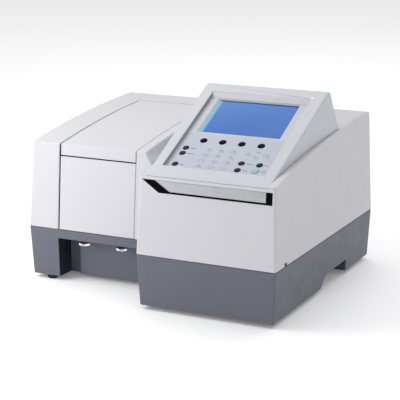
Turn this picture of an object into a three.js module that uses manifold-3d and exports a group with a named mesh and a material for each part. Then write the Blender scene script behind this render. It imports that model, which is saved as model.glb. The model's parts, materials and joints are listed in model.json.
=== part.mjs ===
// A benchtop ultraviolet and visible spectrophotometer, in millimetres.
// Origin: the middle of the footprint on the bench. +X is the object's right, -Y its front, +Z up.

import * as THREE from 'three';
import { mergeVertices } from 'three/addons/utils/BufferGeometryUtils.js';
import Module from 'manifold-3d';

const wasm = await Module();
wasm.setup();

// ---- Driving dimensions -------------------------------------------------------------------------

const WIDTH = 419;              // across the seam between base and cover
const DEPTH = 381;
const BASE_BOTTOM = 6;          // underside of the base, held up by the feet
const SEAM_Z = 79;              // top of the base, foot of the cover
const WALL = 2.6;               // moulded wall thickness
const GAP = 0.3;                // clearance between faces that touch
const SEAM_REVEAL = 1.1;        // shadow line left open between base and cover
const CORNER_R = 3.2;           // plan radius of the casing's corners

const NOSE_X = 3;               // left side of the forward block
const SHELF_Y = -126;           // front of the left block
const ARC_R = 2000;             // side-view crown of the cover's top
const ARC_Y = 218.5;            // crown's highest point
const ARC_Z = 232.4;
const REAR_ROUND = 10;          // radius along the rear top edge

const SIDE_DRAFT = 0.036;       // lean of the cover's walls, per mm of height
const NOSE_LEAN = 0.055;
const SHELF_LEAN = 0.08;
const REAR_LEAN = 0.033;
const BASE_DRAFT = 0.045;       // inward taper of the base towards the bench

const DECK_Z = 187.5;           // floor under the console
const DECK_REAR = 61;
const DECK_BANK = { x: -11.1, y: -118, turn: 0.08, slope: 0.54 };   // foot of the deck's left bank
const DECK_GAP = 0.5;           // between the console's right side and the deck's right bank

const CONSOLE_FRONT = [-175, 190];      // y and z of the console face's lower edge
const CONSOLE_TILT = THREE.MathUtils.degToRad(25.53);
const CONSOLE_LENGTH = 217.5;
const CONSOLE_LEFT = 5.5;
const CONSOLE_RIGHT = 201.6;
const CONSOLE_FOOT_REAR = 60;
const CONSOLE_TAPER = { height: 0.02, length: 0.032 };   // narrowing of each side, per mm

const LID = { left: -158, right: -35.2, bottom: 187.8, rear: 123.5 };
const HINGE_Z = 224.5;          // height of the lid's hinge axis, at y = LID.rear
const HINGE_R = 5.7;            // the lid's rear roll
const PIN_R = 2;
const OPEN_GAP = 1;             // gap round the lid and the front panel
const GROOVE = 2.2;             // wider gap along their left edge
const SILL_GAP = 1.6;           // gap between the lid and the front panel

const RECESS = { left: -160, right: NOSE_X, back: -97, slotRight: -140.5, slotBack: -91, top: 64.5 };
const SCREWS = { x: [-124, -62], y: -111, r: 8.8, height: 7.6 };
const ARCH = { front: -14, rear: 88, top: 23.3 };

const TUB = { left: -152, right: -44, front: -112, rear: -8, bottom: 84, top: 194.5 };
const BEAM_Z = 120;
const SAMPLE_Y = -84;
const REFERENCE_Y = -36;
const HOLDER_X = -98;
const CUVETTE = { side: 12.5, height: 45, wall: 1.25, bottom: 100 };

// Places on the console's face: x, and distance up the slope from its lower edge.
const PANEL = { left: 27, right: 178, low: 21, high: 199, sunk: 5, thick: 2.5 };
const SCREEN = { left: 42.2, right: 163.6, low: 111, high: 189.4 };
const LED = { x: 179.8, up: 200.7, r: 1.5 };
const ROW_UP = [69.4, 57.3, 44.6, 32.4];
const NUMBER_KEYS = { x: 75, pitch: 18.8 };
const FUNCTION_KEYS = { x: 58.8, pitch: 28.85, up: 89 };
const ARROW_KEYS = { x: 147.3, up: 68.6, acrossStep: 13.4, upStep: 6.1 };
const SIDE_KEYS_X = 40.1;
const CLEAR_KEY = [132.8, 47.4];
const PRINT_KEY = [159.3, 47.4];
const START_KEY = [158.2, 34];
const KEY_LIFT = 1;
const PALE_KEY_R = 3.7;
const KEY_R = 4.3;
const FUNCTION_KEY_R = 4.9;
const START_KEY_R = 4.8;

const BADGE = { left: 10.4, slant: 25.6, right: 201.8, low: 167.2, top: 184.4 };
const PRY_NOTCH = { front: -159.4, back: -149.4, height: 4.8 };

const REAR_PLATE = { left: -25, right: 195, low: 90, high: 205, back: 183.2, thick: 2 };
const REAR_HOLE = { left: -19, right: 189, low: 96, high: 199 };
const FAN = { x: 150, z: 162, size: 60, depth: 15, hub: 12, bore: 27.5 };
const INLET = { x: 160, z: 112, width: 30, height: 24, depth: 24 };
const SWITCH = { x: 122, z: 112, width: 14, height: 21 };

const FOOT_R = 7.6;
const FEET = {
  foot_front_left: [-179, -113.5],
  foot_front_right: [160, -148],
  foot_rear_left: [-179, 150],
  foot_rear_right: [160, 150],
};

// ---- Materials ----------------------------------------------------------------------------------

function material(color, roughness, metalness = 0) {
  return new THREE.MeshStandardMaterial({ color, roughness, metalness });
}

const WHITE = material(0xe9e9ef, 0.45);
const SLATE = material(0x6a6e79, 0.55);
const BLACK = material(0x17181c, 0.4);
const DARK_KEY = material(0x2b2c36, 0.5);
const PALE = material(0xc9ccd6, 0.5);
const MINT = material(0xa6cfc6, 0.5);
const RUBBER = material(0x1c1c1e, 0.9);
const CHROME = material(0xd8d8dc, 0.15, 1);
const STEEL = material(0xa9abb0, 0.35, 1);
const CAST = material(0x8f9298, 0.6, 0.8);
const BLUE = material(0x5d8bc9, 0.2);
const GLASS = material(0xdfe9ee, 0.05);
const BOARD = material(0x2e6a45, 0.6);
const BRONZE = material(0xb08a4a, 0.35, 1);

// ---- Solids -------------------------------------------------------------------------------------

const group = new THREE.Group();

function solid(geometry) {
  geometry.deleteAttribute('normal');
  geometry.deleteAttribute('uv');
  const merged = mergeVertices(geometry, 1e-4);
  return new wasm.Manifold(new wasm.Mesh({
    numProp: 3,
    vertProperties: new Float32Array(merged.attributes.position.array),
    triVerts: new Uint32Array(merged.index.array),
  }));
}

function add(name, shape, look) {
  const data = shape.getMesh();
  const geometry = new THREE.BufferGeometry();
  geometry.setAttribute('position', new THREE.BufferAttribute(new Float32Array(data.vertProperties), 3));
  geometry.setIndex(new THREE.BufferAttribute(new Uint32Array(data.triVerts), 1));
  geometry.computeVertexNormals();
  const mesh = new THREE.Mesh(geometry, look);
  mesh.name = name;
  group.add(mesh);
}

function joined(...shapes) {
  return shapes.reduce((all, shape) => all.add(shape));
}

function cut(shape, ...tools) {
  return tools.reduce((left, tool) => left.subtract(tool), shape);
}

function box(x0, x1, y0, y1, z0, z1, place) {
  const geometry = new THREE.BoxGeometry(x1 - x0, y1 - y0, z1 - z0);
  geometry.translate((x0 + x1) / 2, (y0 + y1) / 2, (z0 + z1) / 2);
  if (place) geometry.applyMatrix4(place);
  return solid(geometry);
}

function extruded(points, depth) {
  const shape = new THREE.Shape(points.map(([a, b]) => new THREE.Vector2(a, b)));
  return new THREE.ExtrudeGeometry(shape, { depth, bevelEnabled: false });
}

// An outline in y and z, drawn out along x.
function prismX(points, x0, x1) {
  const geometry = extruded(points, x1 - x0);
  geometry.applyMatrix4(new THREE.Matrix4().set(0, 0, 1, x0, 1, 0, 0, 0, 0, 1, 0, 0, 0, 0, 0, 1));
  return solid(geometry);
}

// An outline in x and z, drawn out along y.
function prismY(points, y0, y1) {
  const geometry = extruded(points, y1 - y0);
  geometry.applyMatrix4(new THREE.Matrix4().set(1, 0, 0, 0, 0, 0, -1, y1, 0, 1, 0, 0, 0, 0, 0, 1));
  return solid(geometry);
}

// A plan outline drawn up from z0 to z1, where it has become the second outline.
function loft(low, high, z0, z1) {
  const geometry = extruded(high, z1 - z0);
  const position = geometry.attributes.position;
  for (let i = 0; i < position.count; i += 1) {
    const x = position.getX(i);
    const y = position.getY(i);
    if (position.getZ(i) === 0) {
      const k = high.findIndex(([a, b]) => Math.hypot(a - x, b - y) < 1e-3);
      position.setXY(i, low[k][0], low[k][1]);
    }
  }
  geometry.translate(0, 0, z0);
  return solid(geometry);
}

function cylinder(radius, length, axis, centre, sides = 32) {
  const geometry = new THREE.CylinderGeometry(radius, radius, length, sides);
  if (axis === 'x') geometry.rotateZ(Math.PI / 2);
  if (axis === 'z') geometry.rotateX(Math.PI / 2);
  geometry.translate(...centre);
  return solid(geometry);
}

// A turned piece about z: pairs of radius and height, from the axis back to the axis.
function turned(profile, centre, sides = 24, place) {
  const geometry = new THREE.LatheGeometry(profile.map(([r, z]) => new THREE.Vector2(r, z)), sides);
  geometry.rotateX(Math.PI / 2);
  geometry.translate(...centre);
  if (place) geometry.applyMatrix4(place);
  return solid(geometry);
}

// Corners given as [a, b, radius], with each radius worked into a short arc.
function rounded(corners, steps = 4) {
  const points = [];
  corners.forEach(([a, b, radius], i) => {
    const before = corners[(i + corners.length - 1) % corners.length];
    const after = corners[(i + 1) % corners.length];
    const corner = new THREE.Vector2(a, b);
    const u = new THREE.Vector2(before[0] - a, before[1] - b).normalize();
    const v = new THREE.Vector2(after[0] - a, after[1] - b).normalize();
    const half = Math.acos(u.dot(v)) / 2;
    if (!radius) {
      points.push([a, b]);
      return;
    }
    const reach = radius / Math.tan(half);
    const centre = u.clone().add(v).normalize().multiplyScalar(radius / Math.sin(half)).add(corner);
    const start = u.clone().multiplyScalar(reach).add(corner).sub(centre).angle();
    const end = v.clone().multiplyScalar(reach).add(corner).sub(centre).angle();
    let sweep = end - start;
    if (sweep > Math.PI) sweep -= 2 * Math.PI;
    if (sweep < -Math.PI) sweep += 2 * Math.PI;
    for (let k = 0; k <= steps; k += 1) {
      const angle = start + sweep * k / steps;
      points.push([centre.x + radius * Math.cos(angle), centre.y + radius * Math.sin(angle)]);
    }
  });
  return points;
}

// ---- The casing's outside and inside ------------------------------------------------------------

// The L-shaped plan at height z, moved inwards by `inset`.
function plan(z, inset = 0) {
  const up = Math.max(z - SEAM_Z, 0);
  const down = Math.max(SEAM_Z - z, 0) * BASE_DRAFT;
  const side = up * SIDE_DRAFT + down + inset;
  const left = -WIDTH / 2 + side;
  const right = WIDTH / 2 - side;
  const nose = NOSE_X + side;
  const front = -DEPTH / 2 + up * NOSE_LEAN + down + inset;
  const shelf = SHELF_Y + up * SHELF_LEAN + down + inset;
  const rear = DEPTH / 2 - up * REAR_LEAN - down - inset;
  const radius = Math.max(CORNER_R - inset, 1);
  return rounded([
    [left, shelf, radius], [nose, shelf, 1], [nose, front, radius],
    [right, front, radius], [right, rear, radius], [left, rear, radius],
  ]);
}

function crown(y, inset = 0) {
  return ARC_Z - ARC_R + Math.sqrt((ARC_R - inset) ** 2 - (y - ARC_Y) ** 2);
}

// The crowned block above z0 that the cover's outside and inside are made from.
function crownedBlock(z0, inset) {
  const top = 240;
  const rear = DEPTH / 2 - (ARC_Z - SEAM_Z) * REAR_LEAN - inset;
  const corner = [rear, crown(rear, inset), REAR_ROUND - inset];
  const start = -DEPTH / 2 - 5;
  const steps = 16;
  const arc = [];
  for (let k = 0; k < steps; k += 1) {
    const y = start + (rear - REAR_ROUND - start) * k / steps;
    arc.push([y, crown(y, inset), 0]);
  }
  const side = rounded([[start, z0 - 5, 0], [DEPTH / 2 + 5, z0 - 5, 0],
    [DEPTH / 2 + 5, SEAM_Z, 0], corner, ...arc.reverse()], 6);
  return loft(plan(z0, inset), plan(top, inset), z0, top).intersect(prismX(side, -WIDTH, WIDTH));
}

// How far each side of the console stands in from its greatest width, at a place along y and z.
function consoleTaper(y, z) {
  return CONSOLE_TAPER.height * (z - DECK_Z) + CONSOLE_TAPER.length * (CONSOLE_FOOT_REAR - y);
}

// The space over the deck, moved outwards by `grow` so that the cover keeps a wall below it.
function deckSpace(grow = 0) {
  const foot = DECK_Z - grow;
  const crest = 245;
  const rear = DECK_REAR + grow;
  const outline = (z) => {
    const { x, y: from, turn, slope } = DECK_BANK;
    const left = (y) => x + turn * (y - from) - slope * (z - foot) - grow;
    const right = (y) => CONSOLE_RIGHT - consoleTaper(y, z) + DECK_GAP + grow;
    return [[left(-DEPTH), -DEPTH], [right(-DEPTH), -DEPTH], [right(rear), rear], [left(rear), rear]];
  };
  return loft(outline(foot), outline(crest), foot, crest);
}

const outside = crownedBlock(SEAM_Z, 0).subtract(deckSpace());
const inside = crownedBlock(SEAM_Z - 1, WALL).subtract(deckSpace(WALL));

function mainCover() {
  const lidHole = box(LID.left - GROOVE, LID.right + OPEN_GAP, -DEPTH, LID.rear + HINGE_R + 0.5,
    LID.bottom - OPEN_GAP, 250);
  const panelHole = box(LID.left - GROOVE, LID.right + OPEN_GAP, -DEPTH, TUB.front + 4, 0, LID.bottom);
  const rearHole = box(REAR_HOLE.left, REAR_HOLE.right, 150, DEPTH, REAR_HOLE.low, REAR_HOLE.high);
  const pryNotch = box(WIDTH / 2 - 20, WIDTH / 2 + 10, PRY_NOTCH.front, PRY_NOTCH.back,
    SEAM_Z - 1, SEAM_Z + PRY_NOTCH.height);
  const badgeSeat = badgeShape(1, 0.8);
  return cut(outside, inside, lidHole, panelHole, rearHole, pryNotch, badgeSeat);
}

// ---- Base ---------------------------------------------------------------------------------------

// The cooling tunnel across the underside, open at both sides.
function archSpace(grow = 0) {
  const bottom = BASE_BOTTOM - 5;
  return prismX(rounded([
    [ARCH.front - 3 - grow, bottom, 0], [ARCH.rear + grow, bottom, 0], [ARCH.rear + grow, ARCH.top + grow, 1],
    [ARCH.front + 18 - grow, ARCH.top + grow, 10], [ARCH.front - grow, BASE_BOTTOM, 0],
  ]), -WIDTH, WIDTH);
}

// The hand space under the sample compartment, with a deeper slot at its left end.
function recessSpace(grow = 0) {
  const top = RECESS.top + grow;
  const main = box(RECESS.left - grow, RECESS.right + grow, -DEPTH, RECESS.back + grow, -5, top);
  const slot = box(RECESS.left - grow, RECESS.slotRight + grow, -DEPTH, RECESS.slotBack + grow, -5, top);
  return main.add(slot);
}

function basePan() {
  const rim = SEAM_Z - SEAM_REVEAL;
  const outer = loft(plan(BASE_BOTTOM), plan(rim), BASE_BOTTOM, rim);
  const tongue = loft(plan(rim, 1.2), plan(SEAM_Z - GAP, 1.2), rim - 1, SEAM_Z - GAP);
  const block = joined(outer, tongue);
  const recess = recessSpace().intersect(box(-WIDTH, RECESS.right + WALL, -DEPTH, 0, -5, 100));
  const noseSide = box(RECESS.right, RECESS.right + 20, -DEPTH, SHELF_Y + 40, -5, 100);
  const cavity = loft(plan(BASE_BOTTOM, WALL + 0.4), plan(SEAM_Z + 1, WALL + 0.4), BASE_BOTTOM + 3, SEAM_Z + 1);
  const hollow = cut(cavity, archSpace(WALL), recessSpace(WALL));
  const screwHoles = SCREWS.x.map((x) => cylinder(3.4, 20, 'z', [x, SCREWS.y, RECESS.top]));
  return cut(block, archSpace(), recess.subtract(noseSide), hollow, ...screwHoles);
}

// A knurled round head hanging from a threaded shank.
function thumbscrew(x) {
  const top = RECESS.top - 1;
  const head = [];
  const flutes = 24;
  for (let k = 0; k < 2 * flutes; k += 1) {
    const radius = k % 2 ? SCREWS.r - 0.7 : SCREWS.r;
    const angle = Math.PI * k / flutes;
    head.push([x + radius * Math.cos(angle), SCREWS.y + radius * Math.sin(angle)]);
  }
  const knob = loft(head, head, top - SCREWS.height, top);
  const shank = cylinder(2.8, 16, 'z', [x, SCREWS.y, top + 7.5], 20);
  const button = turned([[0, -1.2], [5.4, -1.2], [6.4, 0.3], [0, 0.3]], [x, SCREWS.y, top - SCREWS.height], 32);
  return joined(knob, shank, button);
}

function foot([x, y]) {
  return turned([[0, 0], [FOOT_R - 1, 0], [FOOT_R, 1], [FOOT_R, BASE_BOTTOM - GAP], [0, BASE_BOTTOM - GAP]],
    [x, y, 0], 32);
}

// ---- Lid and front panel ------------------------------------------------------------------------

function compartmentLid() {
  const { left, right, bottom, rear } = LID;
  const skin = cut(crownedBlock(SEAM_Z, 0), crownedBlock(SEAM_Z - 1, WALL))
    .intersect(box(left, right, -DEPTH, rear, bottom, 250));
  const ribDepth = 9;
  const ribs = [[left, left + WALL], [right - WALL, right]].map(([x0, x1]) => (
    cut(crownedBlock(SEAM_Z, 1), crownedBlock(SEAM_Z - 1, ribDepth))
      .intersect(box(x0, x1, -DEPTH, rear, TUB.top + 1.5, 250))
  ));
  const roll = cylinder(HINGE_R, right - left, 'x', [(left + right) / 2, rear, HINGE_Z], 40);
  const bore = cylinder(PIN_R + GAP, WIDTH, 'x', [0, rear, HINGE_Z], 24);
  return joined(skin, ...ribs, roll).subtract(bore);
}

function frontPanel() {
  const { left, right, bottom } = LID;
  const skin = cut(crownedBlock(SEAM_Z, 0), crownedBlock(SEAM_Z - 1, WALL));
  const lip = box(left + 3, right - 3, SHELF_Y + 1, -116.5, SEAM_Z + GAP, SEAM_Z + 3);
  return skin.intersect(box(left, right, -DEPTH, SHELF_Y + 40, SEAM_Z + GAP, bottom - SILL_GAP)).add(lip);
}

function hingePin() {
  return cylinder(PIN_R, LID.right - LID.left + 10.4, 'x', [(LID.left + LID.right) / 2, LID.rear, HINGE_Z], 20);
}

// ---- Sample compartment -------------------------------------------------------------------------

function sampleCompartment() {
  const { left, right, front, rear, bottom, top } = TUB;
  const wall = 2.5;
  const shell = box(left, right, front, rear, bottom, top);
  const flange = box(LID.left - 5.6, LID.right + 5.6, front - 1, LID.rear - 6, top - 2.5, top);
  const room = box(left + wall, right - wall, front + wall, rear - wall, bottom + wall, top + 1);
  const ears = [LID.left - 5.6, LID.right + 1.9].map((x) => (
    prismX(rounded([[LID.rear - 14, top - 1, 0], [LID.rear - 6, top - 1, 0], [LID.rear + 3, HINGE_Z - 1, 3],
      [LID.rear + 2.5, HINGE_Z + 2.8, 2], [LID.rear - 3.6, HINGE_Z + 2.6, 2]]), x, x + 3.3)
  ));
  const bore = cylinder(PIN_R + GAP, WIDTH, 'x', [0, LID.rear, HINGE_Z], 24);
  const windows = [SAMPLE_Y, REFERENCE_Y].flatMap((y) => [
    cylinder(8, 1.2, 'x', [left + wall - 0.6, y, BEAM_Z], 24),
    cylinder(8, 1.2, 'x', [right - wall + 0.6, y, BEAM_Z], 24),
  ]);
  return cut(joined(shell, flange, ...ears), room, bore, ...windows);
}

function cellHolder() {
  const floor = TUB.bottom + 2.5 + GAP;
  const plate = box(HOLDER_X - 20, HOLDER_X + 20, -106, -14, floor, floor + 5);
  const towers = [SAMPLE_Y, REFERENCE_Y].map((y) => box(HOLDER_X - 11, HOLDER_X + 11, y - 11, y + 11, floor, 133));
  const half = CUVETTE.side / 2 + GAP;
  const wells = [SAMPLE_Y, REFERENCE_Y].flatMap((y) => [
    box(HOLDER_X - half, HOLDER_X + half, y - half, y + half, CUVETTE.bottom - GAP, 140),
    cylinder(4, 40, 'x', [HOLDER_X, y, BEAM_Z], 16),
  ]);
  return cut(joined(plate, ...towers), ...wells);
}

function cuvette() {
  const half = CUVETTE.side / 2;
  const inner = half - CUVETTE.wall;
  const { bottom, height } = CUVETTE;
  const block = box(HOLDER_X - half, HOLDER_X + half, SAMPLE_Y - half, SAMPLE_Y + half, bottom, bottom + height);
  const room = box(HOLDER_X - inner, HOLDER_X + inner, SAMPLE_Y - inner, SAMPLE_Y + inner,
    bottom + CUVETTE.wall, bottom + height + 1);
  return block.subtract(room);
}

// ---- Console ------------------------------------------------------------------------------------

// Turns a place on the console's face (x, distance up the slope, height off it) into the object's frame.
const FACE = new THREE.Matrix4()
  .makeTranslation(0, ...CONSOLE_FRONT)
  .multiply(new THREE.Matrix4().makeRotationX(CONSOLE_TILT));

function onFace(x, up, off) {
  return new THREE.Vector3(x, up, off).applyMatrix4(FACE);
}

// The wedge, drawn in side view, then narrowed slightly towards its front and its top.
function consoleWedge(inset) {
  const sole = DECK_Z + GAP;
  const low = onFace(0, 0, -inset);
  const high = onFace(0, CONSOLE_LENGTH - inset, -inset);
  const toe = low.y - (low.z - sole) / Math.tan(CONSOLE_TILT);
  const side = rounded([
    [toe, inset ? sole - 1 : sole, 0], [CONSOLE_FOOT_REAR - inset, inset ? sole - 1 : sole, 0],
    [CONSOLE_FOOT_REAR - inset, crown(CONSOLE_FOOT_REAR), 0], [high.y + 6, high.z + 0.4, 4], [high.y, high.z, 2],
  ]);
  const geometry = extruded(side, 1);
  geometry.applyMatrix4(new THREE.Matrix4().set(0, 0, 1, 0, 1, 0, 0, 0, 0, 1, 0, 0, 0, 0, 0, 1));
  const position = geometry.attributes.position;
  for (let i = 0; i < position.count; i += 1) {
    const narrow = consoleTaper(position.getY(i), position.getZ(i)) + inset;
    position.setX(i, position.getX(i) > 0.5 ? CONSOLE_RIGHT - narrow : CONSOLE_LEFT + narrow);
  }
  return solid(geometry);
}

function consoleHousing() {
  const { left, right, low, high, sunk, thick } = PANEL;
  const collar = box(left - 3, right + 3, low - 3, high + 3, -sunk - thick, -1, FACE);
  const window = box(left, right, low, high, -30, 10, FACE);
  const shell = cut(consoleWedge(0), consoleWedge(WALL)).add(collar);
  const ledHole = turned([[0, -10], [LED.r + GAP, -10], [LED.r + GAP, 5], [0, 5]], [LED.x, LED.up, 0], 16, FACE);
  return cut(shell, window, ledHole);
}

function statusLed() {
  return turned([[0, -4], [LED.r, -4], [LED.r, 0.1], [LED.r - 0.4, 0.5], [0, 0.6]], [LED.x, LED.up, 0], 16, FACE);
}

function keyPanel() {
  const { left, right, low, high, sunk, thick } = PANEL;
  const plate = box(left + GAP, right - GAP, low + GAP, high - GAP, -sunk - thick, -sunk, FACE);
  const window = box(SCREEN.left, SCREEN.right, SCREEN.low, SCREEN.high, -30, 10, FACE);
  const holes = Object.values(KEYS).map(({ x, up, r }) => (
    turned([[0, -30], [r + 0.4, -30], [r + 0.4, 5], [0, 5]], [x, up, 0], 14, FACE)
  ));
  return cut(plate, window, ...holes);
}

function lcdScreen() {
  const top = -PANEL.sunk - PANEL.thick - GAP;
  return box(SCREEN.left - 3, SCREEN.right + 3, SCREEN.low - 3, SCREEN.high + 3, top - 4, top, FACE);
}

function keypadBoard() {
  const top = -PANEL.sunk - PANEL.thick - 6.6;
  return box(PANEL.left + 2, PANEL.right - 2, PANEL.low + 7, PANEL.high - 2, top - 1.6, top, FACE);
}

// Every key: x and distance up the face, radius, and material.
const KEYS = {};

function keyRow(names, x0, pitch, up, r, look) {
  names.forEach((name, i) => {
    KEYS[name] = { x: x0 + pitch * i, up, r, look };
  });
}

const { x: numberX, pitch: numberPitch } = NUMBER_KEYS;
const { x: arrowX, up: arrowUp, acrossStep, upStep } = ARROW_KEYS;
keyRow(['key_f1', 'key_f2', 'key_f3', 'key_f4'], FUNCTION_KEYS.x, FUNCTION_KEYS.pitch, FUNCTION_KEYS.up,
  FUNCTION_KEY_R, BLACK);
keyRow(['key_7', 'key_8', 'key_9'], numberX, numberPitch, ROW_UP[0], PALE_KEY_R, PALE);
keyRow(['key_4', 'key_5', 'key_6'], numberX, numberPitch, ROW_UP[1], PALE_KEY_R, PALE);
keyRow(['key_1', 'key_2', 'key_3'], numberX, numberPitch, ROW_UP[2], PALE_KEY_R, PALE);
keyRow(['key_0', 'key_point', 'key_sign'], numberX, numberPitch, ROW_UP[3], PALE_KEY_R, PALE);
keyRow(['key_left', 'key_right'], arrowX - acrossStep, 2 * acrossStep, arrowUp, PALE_KEY_R, PALE);
keyRow(['key_down'], arrowX, 0, arrowUp - upStep, PALE_KEY_R, PALE);
keyRow(['key_up'], arrowX, 0, arrowUp + upStep, PALE_KEY_R, PALE);
keyRow(['key_side_upper'], SIDE_KEYS_X, 0, ROW_UP[0], KEY_R, DARK_KEY);
keyRow(['key_side_middle'], SIDE_KEYS_X, 0, ROW_UP[1], KEY_R, DARK_KEY);
keyRow(['key_side_lower'], SIDE_KEYS_X, 0, ROW_UP[3], KEY_R, DARK_KEY);
keyRow(['key_clear'], CLEAR_KEY[0], 0, CLEAR_KEY[1], KEY_R, DARK_KEY);
keyRow(['key_print'], PRINT_KEY[0], 0, PRINT_KEY[1], KEY_R, DARK_KEY);
keyRow(['key_return'], CLEAR_KEY[0], 0, ROW_UP[3], KEY_R, DARK_KEY);
keyRow(['key_start'], START_KEY[0], 0, START_KEY[1], START_KEY_R, MINT);

// A domed cap with a collar under the panel that stops it from lifting out.
function key({ x, up, r }) {
  const surface = -PANEL.sunk;
  const under = surface - PANEL.thick;
  const top = surface + KEY_LIFT;
  return turned([[0, under - 4.6], [r + 1, under - 4.6], [r + 1, under - GAP], [r, under - GAP], [r, top - 0.3],
    [r - 0.5, top], [0, top]], [x, up, 0], 14, FACE);
}

// ---- Badge on the forward block -----------------------------------------------------------------

// A blank strip with a slanted left end, let into the front wall to `deep` and standing `proud`.
function badgeShape(proud, deep, inset = 0) {
  const top = BADGE.top - inset;
  const low = BADGE.low + inset;
  const right = BADGE.right - inset;
  const strip = prismY([[BADGE.left + 1.6 * inset, top], [BADGE.left + BADGE.slant + 1.2 * inset, low],
    [right, low], [right, top]], -DEPTH, 0);
  const front = loft(plan(SEAM_Z, -proud), plan(240, -proud), SEAM_Z, 240);
  const back = loft(plan(SEAM_Z, deep), plan(240, deep), SEAM_Z, 240);
  return cut(strip.intersect(front), back);
}

// ---- Rear ---------------------------------------------------------------------------------------

function rearPanel() {
  const { left, right, low, high, back, thick } = REAR_PLATE;
  const plate = box(left, right, back - thick, back, low, high);
  const inletHole = box(INLET.x - INLET.width / 2 - GAP, INLET.x + INLET.width / 2 + GAP, 150, 200,
    INLET.z - INLET.height / 2 - GAP, INLET.z + INLET.height / 2 + GAP);
  const switchHole = box(SWITCH.x - SWITCH.width / 2 - 0.5, SWITCH.x + SWITCH.width / 2 + 0.5, 150, 200,
    SWITCH.z - SWITCH.height / 2 - 0.7, SWITCH.z + SWITCH.height / 2 + 0.7);
  const slots = [];
  for (let k = -4; k <= 4; k += 1) {
    const half = Math.sqrt(25 ** 2 - (6 * k) ** 2);
    slots.push(box(FAN.x - half, FAN.x + half, 150, 200, FAN.z + 6 * k - 1.6, FAN.z + 6 * k + 1.6));
  }
  const portBody = box(60, 76, back - 12, back + 1.5, 104, 120);
  const portRoom = box(63, 73, back - 8, back + 5, 107.5, 116.5);
  return cut(plate.add(portBody), portRoom, inletHole, switchHole, ...slots);
}

function powerInlet() {
  const { x, z, width, height, depth } = INLET;
  const face = REAR_PLATE.back + 2;
  const body = box(x - width / 2, x + width / 2, face - depth, face, z - height / 2, z + height / 2);
  const room = box(x - width / 2 + 3.5, x + width / 2 - 3.5, face - 16, face + 1, z - height / 2 + 4, z + height / 2 - 4);
  const blades = [[-7, -1], [0, 2.5], [7, -1]].map(([dx, dz]) => (
    box(x + dx - 1, x + dx + 1, face - 17, face - 4, z + dz - 2, z + dz + 2)
  ));
  return joined(body.subtract(room), ...blades);
}

// A rocker: a shallow V standing out of the panel, on a pivot across it.
function powerSwitch() {
  const { x, z, width, height } = SWITCH;
  const y = REAR_PLATE.back;
  const h = height / 2;
  return prismX([[y - 9, z - 4], [y - 1, z - h + 0.4], [y + 0.8, z - h + 0.4], [y + 1.4, z], [y + 3.4, z + h - 0.6],
    [y + 0.6, z + h - 0.4], [y - 9, z + 4]], x - width / 2, x + width / 2);
}

function fanFrame() {
  const back = REAR_PLATE.back - REAR_PLATE.thick - GAP;
  const h = FAN.size / 2;
  const block = box(FAN.x - h, FAN.x + h, back - FAN.depth, back, FAN.z - h, FAN.z + h);
  const bore = cylinder(FAN.bore, 60, 'y', [FAN.x, back, FAN.z], 40);
  const boss = cylinder(FAN.hub - 1, 2, 'y', [FAN.x, back - 1, FAN.z], 24);
  const arms = [0, 1, 2].map((k) => {
    const place = new THREE.Matrix4().makeTranslation(FAN.x, back - 1, FAN.z)
      .multiply(new THREE.Matrix4().makeRotationY(k * 2 * Math.PI / 3));
    return box(0, FAN.bore + 1, -1, 1, -1.5, 1.5, place);
  });
  return joined(block.subtract(bore), boss, ...arms);
}

function fanRotor() {
  const front = REAR_PLATE.back - REAR_PLATE.thick - FAN.depth + 1;
  const hub = cylinder(FAN.hub, 10, 'y', [FAN.x, front + 5, FAN.z], 24);
  const blades = [];
  for (let k = 0; k < 7; k += 1) {
    const place = new THREE.Matrix4().makeTranslation(FAN.x, front + 5, FAN.z)
      .multiply(new THREE.Matrix4().makeRotationY(k * 2 * Math.PI / 7))
      .multiply(new THREE.Matrix4().makeRotationX(0.6));
    blades.push(box(FAN.hub - 1, FAN.bore - 1, -0.7, 0.7, -6, 6, place));
  }
  return joined(hub, ...blades);
}

// ---- Optics and electronics ---------------------------------------------------------------------

const BENCH = { left: -38, right: 185, front: -108, rear: 132, z: 84, thick: 6 };
const GRATING = [70, -10];
const FLIP_MIRROR = [105, 80];
const LAMPS = { halogen: [150, 108], deuterium: [152, 56] };
const WHEEL = { x: -22, y: -62, z: BEAM_Z, r: 24 };

function opticalBase() {
  const { left, right, front, rear, z, thick } = BENCH;
  const plate = box(left, right, front, rear, z, z + thick);
  const legs = [[15, -78], [170, -78], [15, 112], [170, 112]].map(([x, y]) => (
    cylinder(7, z - BASE_BOTTOM - 3 - GAP + 1, 'z', [x, y, (z + 1 + BASE_BOTTOM + 3 + GAP) / 2], 20)
  ));
  const floor = z + thick;
  const walls = box(8, 132, -98, 62, floor - 1, 150).subtract(box(12, 128, -94, 58, floor, 160));
  const slits = [box(0, 20, SAMPLE_Y - 2, SAMPLE_Y + 2, BEAM_Z - 8, BEAM_Z + 8),
    box(100, 110, 50, 70, BEAM_Z - 8, BEAM_Z + 8)];
  const mirrorPost = box(30, 36, 30, 56, floor - 1, 140);
  const focusPost = box(104, 110, -90, -64, floor - 1, 140);
  const wheelPost = box(WHEEL.x + 6, WHEEL.x + 18, WHEEL.y - 6, WHEEL.y + 6, floor - 1, BEAM_Z + 8);
  return joined(plate, ...legs, walls.subtract(joined(...slits)), mirrorPost, focusPost, wheelPost);
}

// A mirror or grating standing on a turntable, which turns about z.
function turntable([x, y], r, width, height, angle) {
  const floor = BENCH.z + BENCH.thick + GAP;
  const place = new THREE.Matrix4().makeTranslation(x, y, floor)
    .multiply(new THREE.Matrix4().makeRotationZ(angle));
  const disc = cylinder(r, 8, 'z', [x, y, floor + 4], 32);
  const back = box(-2, 6, -width / 2, width / 2, 7, height, place);
  const face = box(-5, -1, -width / 2 + 1, width / 2 - 1, 12, height - 1, place);
  return joined(disc, back, face);
}

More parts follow.
